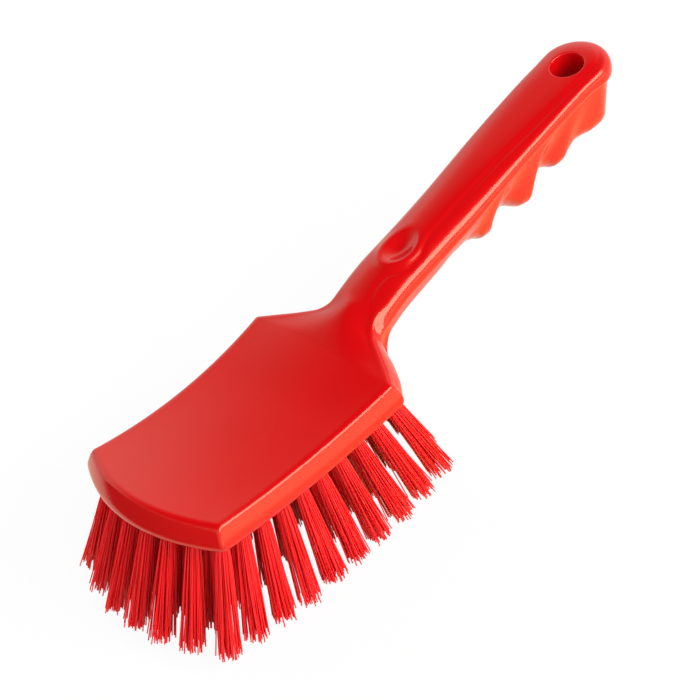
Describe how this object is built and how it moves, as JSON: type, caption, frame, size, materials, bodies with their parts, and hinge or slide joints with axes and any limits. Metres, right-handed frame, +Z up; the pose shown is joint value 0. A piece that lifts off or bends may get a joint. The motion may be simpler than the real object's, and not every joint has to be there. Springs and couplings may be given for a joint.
{
  "type": "hand scrubbing brush",
  "caption": "Short-handled scrubbing brush: a moulded plastic head and finger grip, with splayed tufts of stiff bristle and a hole to hang it by.",
  "frame": {"origin": "on the ground plane that the bristle tips stand on, under the middle of the whole brush's length and width", "axes": "+X from the front of the head to the hanging hole, +Z up from the bristle tips to the handle, +Y to the left of the head seen from the handle"},
  "size_m": [0.297, 0.0944, 0.097],
  "materials": {
    "moulded_polypropylene": "glossy moulded",
    "polyester_filament": "satin extruded filament"
  },
  "bodies": {
    "root": {"head_and_handle": "moulded_polypropylene", "tuft_row_1_1": "polyester_filament", "tuft_row_1_2": "polyester_filament", "tuft_row_1_3": "polyester_filament", "tuft_row_1_4": "polyester_filament", "tuft_row_1_5": "polyester_filament", "tuft_row_1_6": "polyester_filament", "tuft_row_1_7": "polyester_filament", "tuft_row_2_1": "polyester_filament", "tuft_row_2_2": "polyester_filament", "tuft_row_2_3": "polyester_filament", "tuft_row_2_4": "polyester_filament", "tuft_row_2_5": "polyester_filament", "tuft_row_2_6": "polyester_filament", "tuft_row_3_1": "polyester_filament", "tuft_row_3_2": "polyester_filament", "tuft_row_3_3": "polyester_filament", "tuft_row_3_4": "polyester_filament", "tuft_row_3_5": "polyester_filament", "tuft_row_4_1": "polyester_filament", "tuft_row_4_2": "polyester_filament", "tuft_row_4_3": "polyester_filament", "tuft_row_4_4": "polyester_filament", "tuft_row_4_5": "polyester_filament", "tuft_row_4_6": "polyester_filament", "tuft_row_5_1": "polyester_filament", "tuft_row_5_2": "polyester_filament", "tuft_row_5_3": "polyester_filament", "tuft_row_5_4": "polyester_filament", "tuft_row_5_5": "polyester_filament", "tuft_row_6_1": "polyester_filament", "tuft_row_6_2": "polyester_filament", "tuft_row_6_3": "polyester_filament", "tuft_row_6_4": "polyester_filament", "tuft_row_6_5": "polyester_filament", "tuft_row_6_6": "polyester_filament", "tuft_row_7_1": "polyester_filament", "tuft_row_7_2": "polyester_filament", "tuft_row_7_3": "polyester_filament", "tuft_row_7_4": "polyester_filament", "tuft_row_7_5": "polyester_filament", "tuft_row_8_1": "polyester_filament", "tuft_row_8_2": "polyester_filament", "tuft_row_8_3": "polyester_filament", "tuft_row_8_4": "polyester_filament", "tuft_row_8_5": "polyester_filament", "tuft_row_8_6": "polyester_filament", "tuft_row_9_1": "polyester_filament", "tuft_row_9_2": "polyester_filament", "tuft_row_9_3": "polyester_filament", "tuft_row_9_4": "polyester_filament", "tuft_row_9_5": "polyester_filament", "tuft_row_10_1": "polyester_filament", "tuft_row_10_2": "polyester_filament", "tuft_row_10_3": "polyester_filament", "tuft_row_10_4": "polyester_filament", "tuft_row_10_5": "polyester_filament", "tuft_row_10_6": "polyester_filament", "tuft_row_10_7": "polyester_filament"}
  },
  "joints": []
}
